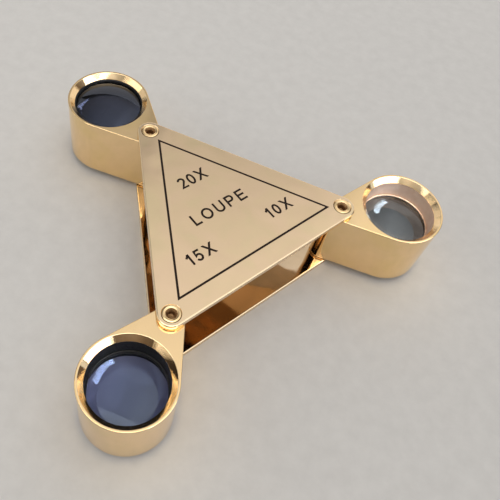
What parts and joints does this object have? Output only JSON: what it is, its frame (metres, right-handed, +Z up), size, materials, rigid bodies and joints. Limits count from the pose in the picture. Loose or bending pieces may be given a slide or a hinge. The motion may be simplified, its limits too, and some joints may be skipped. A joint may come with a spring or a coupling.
{
  "type": "jewelers loupe",
  "caption": "Folding triangular pocket loupe: drop-shaped lens housings swing out on semi-tubular rivets from between two polished gold plates.",
  "frame": {"origin": "centre of the bottom plate's underside, midway between the three rivets", "axes": "+Z up through the plates, along the rivets; the 15x rivet stands at -Y, the 10x rivet at +X +Y and the 20x rivet at -X +Y"},
  "size_m": [0.0889, 0.0789, 0.0184],
  "materials": {
    "gold_plate": "polished champagne-gold plating, faintly wavy",
    "gold_housing": "mirror-polished gold plating",
    "gold_rivet": "polished gold plating, rolled end",
    "gold_ring": "satin turned gold plating",
    "washer_brass": "plain rubbed brass",
    "black_ring": "blackened, semi-matte",
    "coated_glass": "polished, with a blue-violet anti-reflection coating",
    "clear_glass": "polished and cemented"
  },
  "bodies": {
    "frame": {"top_plate": "gold_plate", "bottom_plate": "gold_plate", "pivot_rivet_10x": "gold_rivet", "pivot_rivet_15x": "gold_rivet", "pivot_rivet_20x": "gold_rivet", "upper_washer_10x": "washer_brass", "lower_washer_10x": "washer_brass", "upper_washer_15x": "washer_brass", "lower_washer_15x": "washer_brass", "upper_washer_20x": "washer_brass", "lower_washer_20x": "washer_brass"},
    "arm_10x": {"housing_10x": "gold_housing", "upper_ring_10x": "gold_ring", "lower_ring_10x": "gold_ring", "upper_lens_10x": "coated_glass", "middle_lens_10x": "clear_glass", "lower_lens_10x": "coated_glass"},
    "arm_15x": {"housing_15x": "gold_housing", "upper_ring_15x": "black_ring", "lower_ring_15x": "black_ring", "upper_lens_15x": "coated_glass", "middle_lens_15x": "clear_glass", "lower_lens_15x": "coated_glass"},
    "arm_20x": {"housing_20x": "gold_housing", "upper_ring_20x": "black_ring", "lower_ring_20x": "black_ring", "upper_lens_20x": "coated_glass", "middle_lens_20x": "clear_glass", "lower_lens_20x": "coated_glass"}
  },
  "joints": [
    {"name": "swing_10x", "type": "hinge", "parent": "frame", "child": "arm_10x", "pos_m": [0.0225, 0.01299, 0.00915], "axis": [0, 0, 1], "range_deg": [-180.6, 179.4]},
    {"name": "swing_15x", "type": "hinge", "parent": "frame", "child": "arm_15x", "pos_m": [0, -0.02598, 0.00915], "axis": [0, 0, 1], "range_deg": [-172.8, 187.2]},
    {"name": "swing_20x", "type": "hinge", "parent": "frame", "child": "arm_20x", "pos_m": [-0.0225, 0.01299, 0.00915], "axis": [0, 0, 1], "range_deg": [-186.4, 173.6]}
  ]
}
